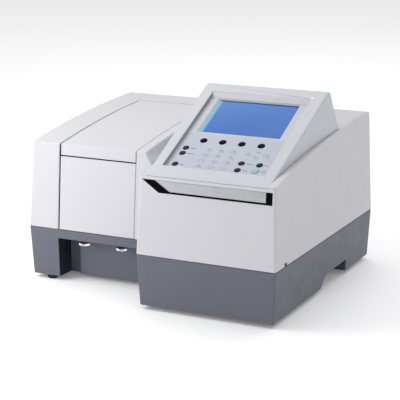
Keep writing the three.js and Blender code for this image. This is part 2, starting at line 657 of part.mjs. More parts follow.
function filterWheel() {
  const { x, y, z, r } = WHEEL;
  const disc = cylinder(r, 3, 'x', [x, y, z], 32);
  const hub = cylinder(5, 9, 'x', [x + 1, y, z], 20);
  const holes = [];
  for (let k = 0; k < 6; k += 1) {
    const angle = k * Math.PI / 3;
    holes.push(cylinder(4.5, 10, 'x', [x, y - 16.5 * Math.cos(angle), z + 16.5 * Math.sin(angle)], 12));
  }
  return cut(disc, ...holes).add(hub);
}

function halogenLamp() {
  return turned([[0, 0], [10, 0], [10, 14], [5.5, 15], [5.5, 34], [4, 38], [0, 39.5]],
    [...LAMPS.halogen, BENCH.z + BENCH.thick + GAP], 16);
}

function deuteriumLamp() {
  return turned([[0, 0], [16, 0], [16, 6], [13, 7], [13, 12], [11, 13], [11, 48], [8, 53], [3, 55], [3, 60], [0, 61]],
    [...LAMPS.deuterium, BENCH.z + BENCH.thick + GAP], 16);
}

function detector() {
  const head = box(-192, TUB.left - GAP, SAMPLE_Y - 16, SAMPLE_Y + 16, BEAM_Z - 20, BEAM_Z + 20);
  const post = box(-190, -176, SAMPLE_Y - 8, SAMPLE_Y + 8, BASE_BOTTOM + 3 + GAP, BEAM_Z - 19);
  return head.add(post);
}

function mainBoard() {
  const z = 24;
  const plate = box(20, 188, -176, -92, z, z + 1.6);
  const chips = [[40, -160, 26, 26, 3], [90, -150, 40, 18, 8], [150, -160, 24, 30, 16], [60, -118, 20, 14, 3],
    [120, -115, 44, 20, 12]].map(([x, y, w, d, h]) => box(x, x + w, y, y + d, z + 1, z + 1.6 + h));
  const posts = [[26, -170], [182, -170], [26, -98], [182, -98]].map(([x, y]) => (
    cylinder(3, z - BASE_BOTTOM - 3 - GAP + 0.5, 'z', [x, y, (z + 0.5 + BASE_BOTTOM + 3 + GAP) / 2], 12)
  ));
  return joined(plate, ...chips, ...posts);
}

// ---- Assembly -----------------------------------------------------------------------------------

add('base_pan', basePan(), SLATE);
add('main_cover', mainCover(), WHITE);
add('rear_panel', rearPanel(), PALE);
for (const [name, place] of Object.entries(FEET)) {
  add(name, foot(place), RUBBER);
}
add('console_housing', consoleHousing(), WHITE);
add('key_panel', keyPanel(), PALE);
add('lcd_screen', lcdScreen(), BLUE);
add('keypad_board', keypadBoard(), BOARD);
add('status_led', statusLed(), GLASS);
add('badge', badgeShape(0, 0.5, GAP), BLACK);
add('compartment_lid', compartmentLid(), WHITE);
add('lid_hinge_pin', hingePin(), STEEL);
add('front_panel', frontPanel(), WHITE);
add('thumbscrew_left', thumbscrew(SCREWS.x[0]), CHROME);
add('thumbscrew_right', thumbscrew(SCREWS.x[1]), CHROME);
add('sample_compartment', sampleCompartment(), BLACK);
add('cell_holder', cellHolder(), BLACK);
add('cuvette', cuvette(), GLASS);
add('power_inlet', powerInlet(), BLACK);
add('power_switch', powerSwitch(), BLACK);
add('fan_frame', fanFrame(), BLACK);
add('fan_rotor', fanRotor(), BLACK);
add('optical_base', opticalBase(), CAST);
add('grating_mount', turntable(GRATING, 14, 30, 40, 0.6), BRONZE);
add('source_mirror', turntable(FLIP_MIRROR, 10, 22, 36, -0.5), STEEL);
add('filter_wheel', filterWheel(), BLACK);
add('halogen_lamp', halogenLamp(), GLASS);
add('deuterium_lamp', deuteriumLamp(), GLASS);
add('detector', detector(), BLACK);
add('main_board', mainBoard(), BOARD);
for (const [name, place] of Object.entries(KEYS)) {
  add(name, key(place), place.look);
}

export default group;
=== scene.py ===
import json
import math

import bmesh
import bpy
from mathutils import Matrix, Vector
from mathutils.bvhtree import BVHTree

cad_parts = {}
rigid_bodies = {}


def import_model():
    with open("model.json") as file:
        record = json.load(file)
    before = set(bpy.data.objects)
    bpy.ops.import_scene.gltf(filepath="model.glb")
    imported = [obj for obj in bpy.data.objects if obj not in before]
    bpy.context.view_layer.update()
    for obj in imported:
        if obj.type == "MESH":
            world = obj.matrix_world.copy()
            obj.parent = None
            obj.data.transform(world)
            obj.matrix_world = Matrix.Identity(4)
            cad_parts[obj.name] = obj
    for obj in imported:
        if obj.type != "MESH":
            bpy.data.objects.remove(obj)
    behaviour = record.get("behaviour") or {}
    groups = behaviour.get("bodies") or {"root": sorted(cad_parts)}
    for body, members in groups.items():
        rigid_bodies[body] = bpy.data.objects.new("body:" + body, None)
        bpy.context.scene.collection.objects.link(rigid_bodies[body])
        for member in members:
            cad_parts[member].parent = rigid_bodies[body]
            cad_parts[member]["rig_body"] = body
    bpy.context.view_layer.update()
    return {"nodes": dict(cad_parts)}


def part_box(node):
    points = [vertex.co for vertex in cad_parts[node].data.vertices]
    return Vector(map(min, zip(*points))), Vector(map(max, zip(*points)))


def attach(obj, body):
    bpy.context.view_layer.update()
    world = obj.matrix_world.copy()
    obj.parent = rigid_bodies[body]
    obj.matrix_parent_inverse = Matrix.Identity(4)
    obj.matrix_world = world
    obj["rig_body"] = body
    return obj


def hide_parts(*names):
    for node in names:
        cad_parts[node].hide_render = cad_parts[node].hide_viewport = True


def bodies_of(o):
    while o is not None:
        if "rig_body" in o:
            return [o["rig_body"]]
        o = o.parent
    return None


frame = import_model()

# A benchtop spectrophotometer. The shapes of pieces are given in millimetres and MM turns them into
# metres. The camera, the lights, the rays and the distances in materials are in metres.
# +X is the object's right, -Y its front, +Z up.

MM = 0.001

# ---- Camera -------------------------------------------------------------------------------------

CAMERA_AZIMUTH = math.radians(26.05)
CAMERA_ELEVATION = math.radians(13.74)
CAMERA_DISTANCE = 2.0276
CAMERA_TARGET = Vector((0, 0, 0.12))
CAMERA_LENS = 123.45
CAMERA_SHIFT = (0.01245, -0.0132)


def make_camera():
    back = Vector((
        math.sin(CAMERA_AZIMUTH) * math.cos(CAMERA_ELEVATION),
        -math.cos(CAMERA_AZIMUTH) * math.cos(CAMERA_ELEVATION),
        math.sin(CAMERA_ELEVATION),
    ))
    data = bpy.data.cameras.new("camera")
    data.lens = CAMERA_LENS
    data.sensor_width = 36
    data.shift_x, data.shift_y = CAMERA_SHIFT
    camera = bpy.data.objects.new("camera", data)
    camera.location = CAMERA_TARGET + back * CAMERA_DISTANCE
    camera.rotation_euler = (-back).to_track_quat("-Z", "Y").to_euler()
    bpy.context.scene.collection.objects.link(camera)
    bpy.context.scene.camera = camera


make_camera()
bpy.context.scene.view_settings.view_transform = "Standard"
bpy.context.scene.view_settings.look = "None"

# ---- Materials ----------------------------------------------------------------------------------


def tone(red, green, blue, scale=1.0):
    """A colour given in 0-255 display values, as the linear values that shaders take."""
    def linear(value):
        value = value / 255
        return value / 12.92 if value <= 0.04045 else ((value + 0.055) / 1.055) ** 2.4
    return tuple(linear(v) * scale for v in (red, green, blue)) + (1.0,)


def shade(colour, factor):
    return tuple(min(c * factor, 1.0) for c in colour[:3]) + (1.0,)


class Look:
    """A material with one Principled shader, fed by procedural textures in object coordinates."""

    def __init__(self, name, roughness, metallic=0.0, **sockets):
        self.material = bpy.data.materials.new(name)
        self.material.use_nodes = True
        self.tree = self.material.node_tree
        self.shader = self.tree.nodes["Principled BSDF"]
        self.place = self.add("TexCoord").outputs["Object"]
        self.bumps = []
        self.set("Roughness", roughness)
        self.set("Metallic", metallic)
        for socket, value in sockets.items():
            self.set(socket.replace("_", " ").title().replace("Ior", "IOR"), value)

    def set(self, socket, value):
        self.feed(self.shader.inputs[socket], value)

    def feed(self, socket, value):
        if isinstance(value, bpy.types.NodeSocket):
            self.tree.links.new(value, socket)
        else:
            socket.default_value = value

    def add(self, kind, inputs=None, **properties):
        made = self.tree.nodes.new("ShaderNode" + kind)
        for key, value in properties.items():
            setattr(made, key, value)
        for key, value in (inputs or {}).items():
            self.feed(made.inputs[key], value)
        return made

    def noise(self, scale, detail=3.0, stretch=None):
        place = self.place
        if stretch:
            place = self.add("Mapping", {"Vector": place, "Scale": stretch}).outputs["Vector"]
        return self.add("TexNoise", {"Vector": place, "Scale": scale, "Detail": detail}).outputs["Fac"]

    def remap(self, value, low, high, to_low, to_high, smooth=False):
        return self.add("MapRange", {"Value": value, "From Min": low, "From Max": high,
                                     "To Min": to_low, "To Max": to_high},
                        interpolation_type="SMOOTHSTEP" if smooth else "LINEAR").outputs["Result"]

    def mix(self, factor, first, second):
        made = self.add("Mix", data_type="RGBA")
        self.feed(made.inputs[0], factor)
        self.feed(made.inputs[6], first)
        self.feed(made.inputs[7], second)
        return made.outputs[2]

    def math(self, operation, first, second=0.0):
        return self.add("Math", {0: first, 1: second}, operation=operation).outputs[0]

    def bump(self, height, strength, distance):
        made = self.add("Bump", {"Height": height, "Strength": strength, "Distance": distance})
        if self.bumps:
            self.feed(made.inputs["Normal"], self.bumps[-1])
        self.bumps.append(made.outputs["Normal"])
        self.set("Normal", made.outputs["Normal"])

    def edges(self, radius):
        """0 on flat faces, rising to 1 along edges."""
        soft = self.add("Bevel", {"Radius": radius}, samples=4).outputs["Normal"]
        hard = self.add("NewGeometry").outputs["Normal"]
        alike = self.add("VectorMath", {0: soft, 1: hard}, operation="DOT_PRODUCT").outputs["Value"]
        return self.remap(alike, 0.99, 0.86, 0.0, 1.0)


def moulded(name, colour, roughness, grain=0.5, depth=0.25, mottle=0.03, wear_and_highlight=None, spread=0.06,
            **sockets):
    """Plastic, rubber or paint: a fine moulded grain, faint patches of tone and uneven gloss. With an edge
    colour and a strength, the edges take that colour: rubbed wear on the slate base and the chamber, a
    painted highlight along the edges of the white covers and the console."""
    look = Look(name, roughness, **sockets)
    patches = look.noise(9.0, 4.0)
    surface = look.mix(look.remap(patches, 0.3, 0.7, 0.0, 1.0),
                       shade(colour, 1 - mottle), shade(colour, 1 + mottle))
    speck = look.noise(700.0 / grain, 2.0)
    surface = look.mix(look.remap(speck, 0.35, 0.65, 0.0, 0.5), surface, shade(colour, 1 - 1.6 * mottle))
    if wear_and_highlight:
        # Edge mask: painted highlight on the white covers and console, rubbed wear on the dark materials.
        rubbed_and_highlit = look.math("MULTIPLY", look.edges(0.0011), look.remap(look.noise(160.0), 0.4, 0.6, 0.25, 1.0))
        surface = look.mix(look.math("MULTIPLY", rubbed_and_highlit, wear_and_highlight[1]), surface, wear_and_highlight[0])
    look.set("Base Color", surface)
    look.set("Roughness", look.remap(look.noise(42.0, 5.0), 0.3, 0.7, roughness - spread, roughness + spread))
    look.bump(speck, depth, 0.00012 * grain)
    look.bump(look.noise(5.0, 1.0), 0.12, 0.0006)
    return look.material


def metal(name, colour, roughness, brushed=None, depth=0.2, spread=0.07, tarnish=0.12, **sockets):
    """Bare or plated metal, with an optional brushed direction as a scale per axis."""
    look = Look(name, roughness, metallic=1.0, **sockets)
    marks = look.noise(900.0, 3.0, brushed) if brushed else look.noise(500.0, 4.0)
    stains = look.noise(55.0, 5.0)
    surface = look.mix(look.remap(stains, 0.45, 0.75, 0.0, 1.0), colour, shade(colour, 1 - tarnish))
    look.set("Base Color", surface)
    look.set("Roughness", look.remap(marks, 0.3, 0.7, roughness - spread, roughness + spread))
    look.bump(marks, depth, 0.00006)
    return look.material


def glass(name, colour, roughness=0.02, ior=1.46):
    look = Look(name, roughness, transmission_weight=1.0, ior=ior)
    haze = look.noise(70.0, 4.0)
    look.set("Base Color", look.mix(look.remap(haze, 0.3, 0.7, 0.0, 1.0), colour, shade(colour, 0.95)))
    look.set("Roughness", look.remap(look.noise(240.0, 3.0), 0.4, 0.7, roughness, roughness + 0.05))
    return look.material


# The display: an emissive panel, paler towards its upper left, with a light band along its left edge
# and a fine square cell grid.
def lit_display(left, right, low, high):
    look = Look("screen_blue", 0.22, specular_ior_level=0.15)
    split = look.add("SeparateXYZ", {"Vector": look.place})
    across = look.remap(split.outputs["X"], left, right, 0.0, 1.0)
    up = look.remap(split.outputs["Y"], low, high, 0.0, 1.0)
    pale = look.math("MULTIPLY", up, look.remap(across, 0.0, 1.0, 1.0, 0.35))
    glow = look.mix(pale, tone(48, 104, 184), tone(84, 134, 200))
    glow = look.mix(look.remap(across, 0.012, 0.05, 1.0, 0.0, True), glow, tone(120, 200, 226))
    glow = look.mix(look.remap(look.noise(24.0, 2.0), 0.35, 0.65, 0.0, 0.14), glow, tone(96, 130, 196))
    pitch = 0.00042
    cells = [look.math("DIVIDE", split.outputs[axis], pitch) for axis in ("X", "Y")]
    lines = [look.math("GREATER_THAN", look.math("FRACT", cell), 0.84) for cell in cells]
    grid = look.math("MAXIMUM", lines[0], lines[1])
    glow = look.mix(look.math("MULTIPLY", grid, 0.12), glow, tone(40, 70, 130))
    look.set("Base Color", look.mix(grid, tone(24, 34, 60), tone(18, 24, 44)))
    look.set("Emission Color", glow)
    look.set("Emission Strength", 0.95)
    look.bump(look.noise(900.0, 2.0), 0.04, 0.00003)
    return look.material


# The keypad sheet: bluish over the keys, paler round the display, with a soft change between the two.
def keypad_sheet(change):
    look = Look("panel_pale", 0.42)
    up = look.add("SeparateXYZ", {"Vector": look.place}).outputs["Y"]
    blend = look.remap(up, change - 0.003, change + 0.003, 0.0, 1.0, True)
    surface = look.mix(blend, tone(176, 181, 194), tone(188, 190, 197))
    surface = look.mix(look.remap(look.noise(30.0, 4.0), 0.3, 0.7, 0.0, 0.25), surface, tone(170, 176, 189))
    look.set("Base Color", surface)
    look.set("Roughness", look.remap(look.noise(60.0, 4.0), 0.3, 0.7, 0.36, 0.5))
    look.bump(look.noise(1900.0, 2.0), 0.2, 0.00005)
    return look.material


COVER = tone(196, 196, 201)
MATERIALS = {
    # The lighter edge colour of the white covers and the console is a painted highlight; on the slate base
    # and the chamber it is wear.
    "cover_white": moulded("cover_white", COVER, 0.46, grain=0.7, mottle=0.012,
                           wear_and_highlight=(tone(214, 214, 219), 0.5)),
    "console_white": moulded("console_white", tone(192, 194, 199), 0.44, grain=0.6, mottle=0.012,
                             wear_and_highlight=(tone(210, 212, 217), 0.5)),
    # Painted shade for the key recess's left wall.
    "console_painted_shade": moulded("console_painted_shade", tone(158, 160, 168), 0.5, grain=0.6, mottle=0.02),
    "base_slate": moulded("base_slate", tone(92, 95, 106), 0.5, grain=0.9, depth=0.4, mottle=0.035,
                          wear_and_highlight=(tone(118, 122, 133), 0.6)),
    "key_black": moulded("key_black", tone(12, 12, 15), 0.36, grain=0.4, mottle=0.08,
                         specular_ior_level=0.03),
    "key_dark": moulded("key_dark", tone(40, 43, 62), 0.38, grain=0.4, mottle=0.06, specular_ior_level=0.06),
    "key_pale": moulded("key_pale", tone(178, 183, 195), 0.45, grain=0.4, mottle=0.02),
    "key_green": moulded("key_green", tone(140, 182, 173), 0.4, grain=0.4, mottle=0.03),
    "key_ink": moulded("key_ink", tone(70, 74, 92), 0.6, grain=0.3, mottle=0.06),
    "badge_black": moulded("badge_black", tone(6, 6, 8), 0.24, grain=0.5, depth=0.08, mottle=0.05,
                           spread=0.04, specular_ior_level=0.04),
    "badge_silver": metal("badge_silver", tone(180, 181, 186), 0.42, brushed=(0.03, 1, 1)),
    # Two tones of painted shade, for the base's recess, slot, tunnel and underside.
    "painted_shade_black": moulded("painted_shade_black", tone(26, 29, 38), 0.6, grain=0.9, depth=0.4, mottle=0.08,
                           specular_ior_level=0.2),
    "painted_shade_grey": moulded("painted_shade_grey", tone(58, 61, 71), 0.55, grain=0.9, depth=0.4, mottle=0.05),
    "rubber_black": moulded("rubber_black", tone(26, 26, 28), 0.82, grain=1.0, depth=0.5, mottle=0.1),
    "foam_black": moulded("foam_black", tone(30, 30, 32), 0.95, grain=2.2, depth=1.0, mottle=0.25),
    "chrome_bright": metal("chrome_bright", tone(236, 236, 240), 0.12, depth=0.05, spread=0.05, tarnish=0.05),
    "steel_plain": metal("steel_plain", tone(196, 198, 202), 0.32, brushed=(0.05, 1, 1)),
    "bronze_plain": metal("bronze_plain", tone(196, 160, 96), 0.3, brushed=(1, 1, 0.08)),
    "rear_sheet": moulded("rear_sheet", tone(204, 206, 212), 0.55, grain=1.3, depth=0.5, mottle=0.02),
    "chamber_black": moulded("chamber_black", tone(34, 35, 38), 0.7, grain=0.9, depth=0.5, mottle=0.08,
                             wear_and_highlight=(tone(84, 85, 90), 0.6)),
    "black_plastic": moulded("black_plastic", tone(24, 24, 26), 0.42, grain=0.8, depth=0.4, mottle=0.08),
    "anodised_black": metal("anodised_black", tone(46, 47, 52), 0.38, brushed=(1, 0.06, 1), tarnish=0.2),
    "cast_alloy": metal("cast_alloy", tone(168, 170, 176), 0.58, depth=0.8, tarnish=0.2),
    "board_green": moulded("board_green", tone(38, 92, 60), 0.4, grain=1.0, mottle=0.12),
    "clear_quartz": glass("clear_quartz", tone(248, 251, 253)),
    "lamp_glass": glass("lamp_glass", tone(240, 244, 248), 0.05),
    "mirror_coat": metal("mirror_coat", tone(238, 240, 242), 0.05, depth=0.02, spread=0.03, tarnish=0.03),
    # A faint glow that stands in for a glint: painted highlight.
    "led_white": moulded("led_white", tone(250, 250, 252), 0.2, grain=0.3, mottle=0.02,
                         emission_color=(1.0, 1.0, 1.0, 1.0), emission_strength=0.25),
}

# ---- Mesh helpers -------------------------------------------------------------------------------

RAY_LIFT = 0.0004       # how far off an edge the ray starts that finds whether the edge lies open
RAY_REACH = 0.3


def link(name, data, look, place=None):
    made = bpy.data.objects.new(name, data)
    if place is not None:
        made.matrix_world = place
    for each in (look if isinstance(look, (list, tuple)) else [look]):
        data.materials.append(MATERIALS[each])
    bpy.context.scene.collection.objects.link(made)
    return made


def mesh_of(name, bm):
    data = bpy.data.meshes.new(name)
    bmesh.ops.recalc_face_normals(bm, faces=bm.faces)
    bm.to_mesh(data)
    bm.free()
    return data


def soften(piece, width, segments=3):
    """Rounds the weighted edges, then evens out the shading."""
    bevel = piece.modifiers.new("rounded_edges", "BEVEL")
    bevel.width = width
    bevel.segments = segments
    bevel.limit_method = "WEIGHT"
    bevel.use_clamp_overlap = False
    even = piece.modifiers.new("even_shading", "WEIGHTED_NORMAL")
    even.keep_sharp = True
    return piece


def weigh_edges(bm, weigh, limit=28.0):
    """Marks the edges to be rounded: convex, sharper than `limit`, open to the outside, and wanted by
    `weigh`."""
    tree = BVHTree.FromBMesh(bm)
    layer = bm.edges.layers.float.get("bevel_weight_edge") or bm.edges.layers.float.new("bevel_weight_edge")
    for face in bm.faces:
        face.smooth = True
    for edge in bm.edges:
        if len(edge.link_faces) != 2:
            continue
        angle = edge.calc_face_angle_signed(0.0)
        if abs(angle) < math.radians(limit):
            continue
        edge.smooth = False
        if angle <= 0:
            continue
        outward = (edge.link_faces[0].normal + edge.link_faces[1].normal).normalized()
        middle = (edge.verts[0].co + edge.verts[1].co) / 2
        if tree.ray_cast(middle + outward * RAY_LIFT, outward, RAY_REACH)[0] is not None:
            continue
        weight = weigh(middle / MM) if weigh else 1.0
        if weight > 0:
            edge[layer] = weight
            edge.smooth = True


def refined(node, width, look, weigh=None, segments=3, paint=None):
    """Stands for a CAD node: the same shape with its flat faces made whole and its outer edges rounded.
    `look` may be a list, and `paint` then picks one for each face, from its middle (mm) and its normal."""
    source = frame["nodes"][node]
    bm = bmesh.new()
    bm.from_mesh(source.data)
    bmesh.ops.remove_doubles(bm, verts=bm.verts, dist=2e-6)
    bmesh.ops.dissolve_limit(bm, angle_limit=math.radians(0.2), verts=bm.verts, edges=bm.edges)
    bm.normal_update()
    weigh_edges(bm, weigh)
    for face in bm.faces:
        face.material_index = paint(face.calc_center_median() / MM, face.normal) if paint else 0
    data = bpy.data.meshes.new(node + "_skin")
    bm.to_mesh(data)
    bm.free()
    if "custom_normal" in data.attributes:
        data.attributes.remove(data.attributes["custom_normal"])
    piece = link(node + "_skin", data, look)
    soften(piece, width * MM, segments)
    return stand_in(piece, node)


def dressed(node, look):
    """Keeps a CAD node as it is, with a finer material."""
    kept = frame["nodes"][node]
    if not kept.material_slots:
        kept.data.materials.append(None)
    for place in kept.material_slots:
        place.material = MATERIALS[look]


def body_of(node):
    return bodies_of(frame["nodes"][node])[0]


def stand_in(piece, node):
    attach(piece, body_of(node))
    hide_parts(node)
    return piece


def extra(piece, body):
    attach(piece, body)
    return piece


def lathe(bm, profile, sides=40, place=None, ripple=None):
    """Turns pairs of radius and height (mm) about Z. The profile starts and ends on the axis."""
    place = place or Matrix.Identity(4)
    rings = []
    for radius, height in profile:
        if radius == 0:
            rings.append([bm.verts.new(place @ Vector((0, 0, height * MM)))])
            continue
        ring = []
        for k in range(sides):
            angle = 2 * math.pi * k / sides
            reach = (radius + (ripple(radius, height, k) if ripple else 0.0)) * MM
            spot = Vector((reach * math.cos(angle), reach * math.sin(angle), height * MM))
            ring.append(bm.verts.new(place @ spot))
        rings.append(ring)
    for low, high in zip(rings, rings[1:]):
        for k in range(sides):
            after = (k + 1) % sides
            corners = [low[k % len(low)], low[after % len(low)], high[after % len(high)], high[k % len(high)]]
            corners = [v for i, v in enumerate(corners) if v not in corners[:i]]
            if len(corners) > 2:
                bm.faces.new(corners)
    return bm


def wall(bm, low, high):
    """Joins two rings of the same number of vertices with four-sided faces."""
    for k in range(len(low)):
        after = (k + 1) % len(low)
        bm.faces.new([low[k], low[after], high[after], high[k]])


def block(bm, x0, x1, y0, y1, z0, z1, place=None, inset=0.0):
    """A block in millimetres. Its top face is drawn in by `inset` on each side."""
    place = place or Matrix.Identity(4)
    low = [(x0, y0), (x1, y0), (x1, y1), (x0, y1)]
    high = [(x0 + inset, y0 + inset), (x1 - inset, y0 + inset),
            (x1 - inset, y1 - inset), (x0 + inset, y1 - inset)]
    bottom = [bm.verts.new(place @ (Vector((x, y, z0)) * MM)) for x, y in low]
    top = [bm.verts.new(place @ (Vector((x, y, z1)) * MM)) for x, y in high]
    bm.faces.new(bottom[::-1])
    bm.faces.new(top)
    wall(bm, bottom, top)


def slab(bm, outline, below, above, place):
    """A flat outline (mm) given thickness from `below` to `above`, in the frame of `place`."""
    low = [bm.verts.new(place @ (Vector((x, y, below)) * MM)) for x, y in outline]
    high = [bm.verts.new(place @ (Vector((x, y, above)) * MM)) for x, y in outline]
    bm.faces.new(low[::-1])
    bm.faces.new(high)
    wall(bm, low, high)


def rounded_outline(corners, radius, steps=5):
    """An outline with every corner worked into an arc."""
    points = []
    for k, corner in enumerate(corners):
        here = Vector(corner)
        to_before = (Vector(corners[k - 1]) - here).normalized()
        to_after = (Vector(corners[(k + 1) % len(corners)]) - here).normalized()
        half = to_before.angle(to_after) / 2
        centre = here + (to_before + to_after).normalized() * (radius / math.sin(half))
        start = here + to_before * (radius / math.tan(half)) - centre
        end = here + to_after * (radius / math.tan(half)) - centre
        for i in range(steps + 1):
            arm = start.lerp(end, i / steps).normalized() * radius
            points.append(tuple(centre + arm))
    return points


def shade_smooth(data, angle=30.0):
    """Smooth shading, kept crisp where faces meet at more than `angle`."""
    bm = bmesh.new()
    bm.from_mesh(data)
    for face in bm.faces:
        face.smooth = True
    for edge in bm.edges:
        edge.smooth = len(edge.link_faces) == 2 and edge.calc_face_angle(0.0) < math.radians(angle)
    bm.to_mesh(data)
    bm.free()


# ---- Casing -------------------------------------------------------------------------------------

BOX = {name: tuple(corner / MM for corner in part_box(name)) for name in frame["nodes"]}
COVER_LOW = BOX["main_cover"][0]
LID_LOW, LID_HIGH = BOX["compartment_lid"]
GLINT_DOT = sum(BOX["status_led"], Vector()) / 2
# The console's sloping face: its own x runs to the right, y up the slope, z out of it.
FACE = Matrix.Translation((0, -0.175, 0.190)) @ Matrix.Rotation(math.radians(25.53), 4, "X")
TO_FACE = FACE.inverted()


def cover_edges(p):
    on_badge = 6 < p.x < 206 and p.y < -183 and 165 < p.z < 187
    on_notch = p.x > 200 and -161 < p.y < -148 and p.z < 86
    if on_badge or on_notch:
        return 0.0
    if p.z < COVER_LOW.z + 0.5:
        return 0.35
    if p.x > 193 and p.z > 186:
        return 0.5
    beside_lid = LID_LOW.x - 2 < p.x < LID_HIGH.x + 2 and p.y < LID_HIGH.y + 3
    return 0.45 if beside_lid else 1.0


def lid_edges(p):
    return 0.0 if p.y > LID_HIGH.y - 14 else 1.0


def console_edges(p):
    inner = 24 < p.x < 181 and -160 < p.y < 5
    if (p - GLINT_DOT).length < 4:
        return 0.0
    return 0.35 if inner else 1.0


def paint_console_shade(p, normal):
    """The key recess's left wall faces away from the lights and gets a greyer material: painted shade."""
    here = (TO_FACE @ (p * MM)) / MM
    return int(normal.x > 0.7 and -8 < here.z < 0 and 20 < here.x < 40)


def paint_base_shade(p, normal):
    """Painted shade: faces looking down (the hand space's ceiling, the tunnel's ceiling, the underside) and
    the hand space's left side get a near-black tone, the slot and the tunnel a dark grey.
    """
    if normal.z < -0.5 or (normal.x > 0.5 and -162 < p.x < -150):
        return 1
    in_slot = p.x < -139 and -98 < p.y < -88
    in_tunnel = -20 < p.y < 92 and p.z < 24
    return 2 if in_slot or in_tunnel else 0


refined("main_cover", 1.6, "cover_white", cover_edges)
refined("compartment_lid", 1.5, "cover_white", lid_edges)
refined("front_panel", 0.7, "cover_white")
refined("base_pan", 1.5, ["base_slate", "painted_shade_black", "painted_shade_grey"],
        lambda p: 0.25 if p.z > BOX["base_pan"][1].z - 1.5 else 1.0, paint=paint_base_shade)
refined("console_housing", 2.2, ["console_white", "console_painted_shade"], console_edges, paint=paint_console_shade)
dressed("rear_panel", "rear_sheet")

GAP_RIGHT = (LID_HIGH.x + 0.15, LID_HIGH.x + 0.85)      # inside the 1 mm gap at the lid's right edge
STRIP_DEPTHS = (1.1, 2.4)                               # how far under the surface the strip lies


def surface_of(node):
    data = frame["nodes"][node].data
    return BVHTree.FromPolygons([v.co for v in data.vertices], [tuple(f.vertices) for f in data.polygons])


def landing_strip():
    """A lip of the cover that closes the gap along the right edge of the lid and the front panel."""
    lid_top = surface_of("compartment_lid")
    panel_front = surface_of("front_panel")
    panel_low, panel_high = BOX["front_panel"]
    x = (LID_HIGH.x - 1) * MM
    line = []
    for k in range(9):
        z = panel_low.z + 1 + (panel_high.z - panel_low.z - 2) * k / 8
        hit = panel_front.ray_cast(Vector((x, -0.3, z * MM)), Vector((0, 1, 0)))[0]
        line.append((hit.y / MM, z, Vector((1, 0))))
    for k in range(25):
        y = LID_LOW.y + 4 + (LID_HIGH.y - LID_LOW.y - 8) * k / 24
        hit = lid_top.ray_cast(Vector((x, y * MM, 0.3)), Vector((0, 0, -1)))[0]
        line.append((y, hit.z / MM, Vector((0, -1))))
    bm = bmesh.new()
    rows = []
    for y, z, inward in line:
        shallow, deep = (Vector((y, z)) + inward * depth for depth in STRIP_DEPTHS)
        rows.append([bm.verts.new(Vector((GAP_RIGHT[i], c.x, c.y)) * MM)
                     for i, c in ((0, shallow), (1, shallow), (1, deep), (0, deep))])
    bm.faces.new(rows[0])
    bm.faces.new(rows[-1][::-1])
    for near, far in zip(rows, rows[1:]):
        wall(bm, near, far)
    extra(link("landing_strip", mesh_of("landing_strip", bm), "cover_white"), "chassis")


landing_strip()

# ---- Key panel, display and keys ----------------------------------------------------------------

# Heights over the console's sloping face.
SUNK = -5.0             # the key panel's upper side
SHEET = 2.5             # its thickness
KEY_TOP = SUNK + 1
PALE_KEY_TOP = SUNK + 0.45
COLLAR_TOP = SUNK - SHEET - 0.3
COLLAR_LOW = SUNK - SHEET - 4.6
FUNCTION_KEYS = ("key_f1", "key_f2", "key_f3", "key_f4")
KEY_LOOKS = {
    "key_black": FUNCTION_KEYS,
    "key_dark": ("key_side_upper", "key_side_middle", "key_side_lower",
                 "key_clear", "key_print", "key_return"),
    "key_green": ("key_start",),
}


def on_face(node):
    """The box of a CAD node in the console face's own frame, in millimetres."""
    points = [(TO_FACE @ v.co) / MM for v in frame["nodes"][node].data.vertices]
    low = Vector(min(p[i] for p in points) for i in range(3))
    high = Vector(max(p[i] for p in points) for i in range(3))
    return low, high


def key_look(node):
    return next((look for look, names in KEY_LOOKS.items() if node in names), "key_pale")


def key_radius(node):
    """A key's radius: its collar, 1 mm wider, gives the node's extent up the face."""
    low, high = on_face(node)
    return (high.y - low.y) / 2 - 1


KEY_NODES = sorted(n for n in frame["nodes"] if n.startswith("key_") and n != "key_panel")
KEY_PLACES = {n: (sum(on_face(n), Vector()) / 2) for n in KEY_NODES}
PANEL_LOW, PANEL_HIGH = on_face("key_panel")
GLASS_LOW, GLASS_HIGH = on_face("lcd_screen")
WINDOW_REACH = 3.0
WINDOW_SLOPE = (3.2, 2.8, 3.0, 1.0)     # how far the window widens at its left, right, lower and upper sides
WINDOW = (GLASS_LOW.x + WINDOW_REACH, GLASS_HIGH.x - WINDOW_REACH,
          GLASS_LOW.y + WINDOW_REACH, GLASS_HIGH.y - WINDOW_REACH)


def apply_modifiers(piece):
    bpy.context.view_layer.update()
    made = bpy.data.meshes.new_from_object(piece.evaluated_get(bpy.context.evaluated_depsgraph_get()))
    piece.modifiers.clear()
    piece.data = made


def cut(piece, bm):
    tool = link("cutter", mesh_of("cutter", bm), "panel_pale", piece.matrix_world.copy())
    modifier = piece.modifiers.new("cut", "BOOLEAN")
    modifier.operation = "DIFFERENCE"
    modifier.solver = "EXACT"
    modifier.object = tool
    apply_modifiers(piece)
    bpy.data.objects.remove(tool)


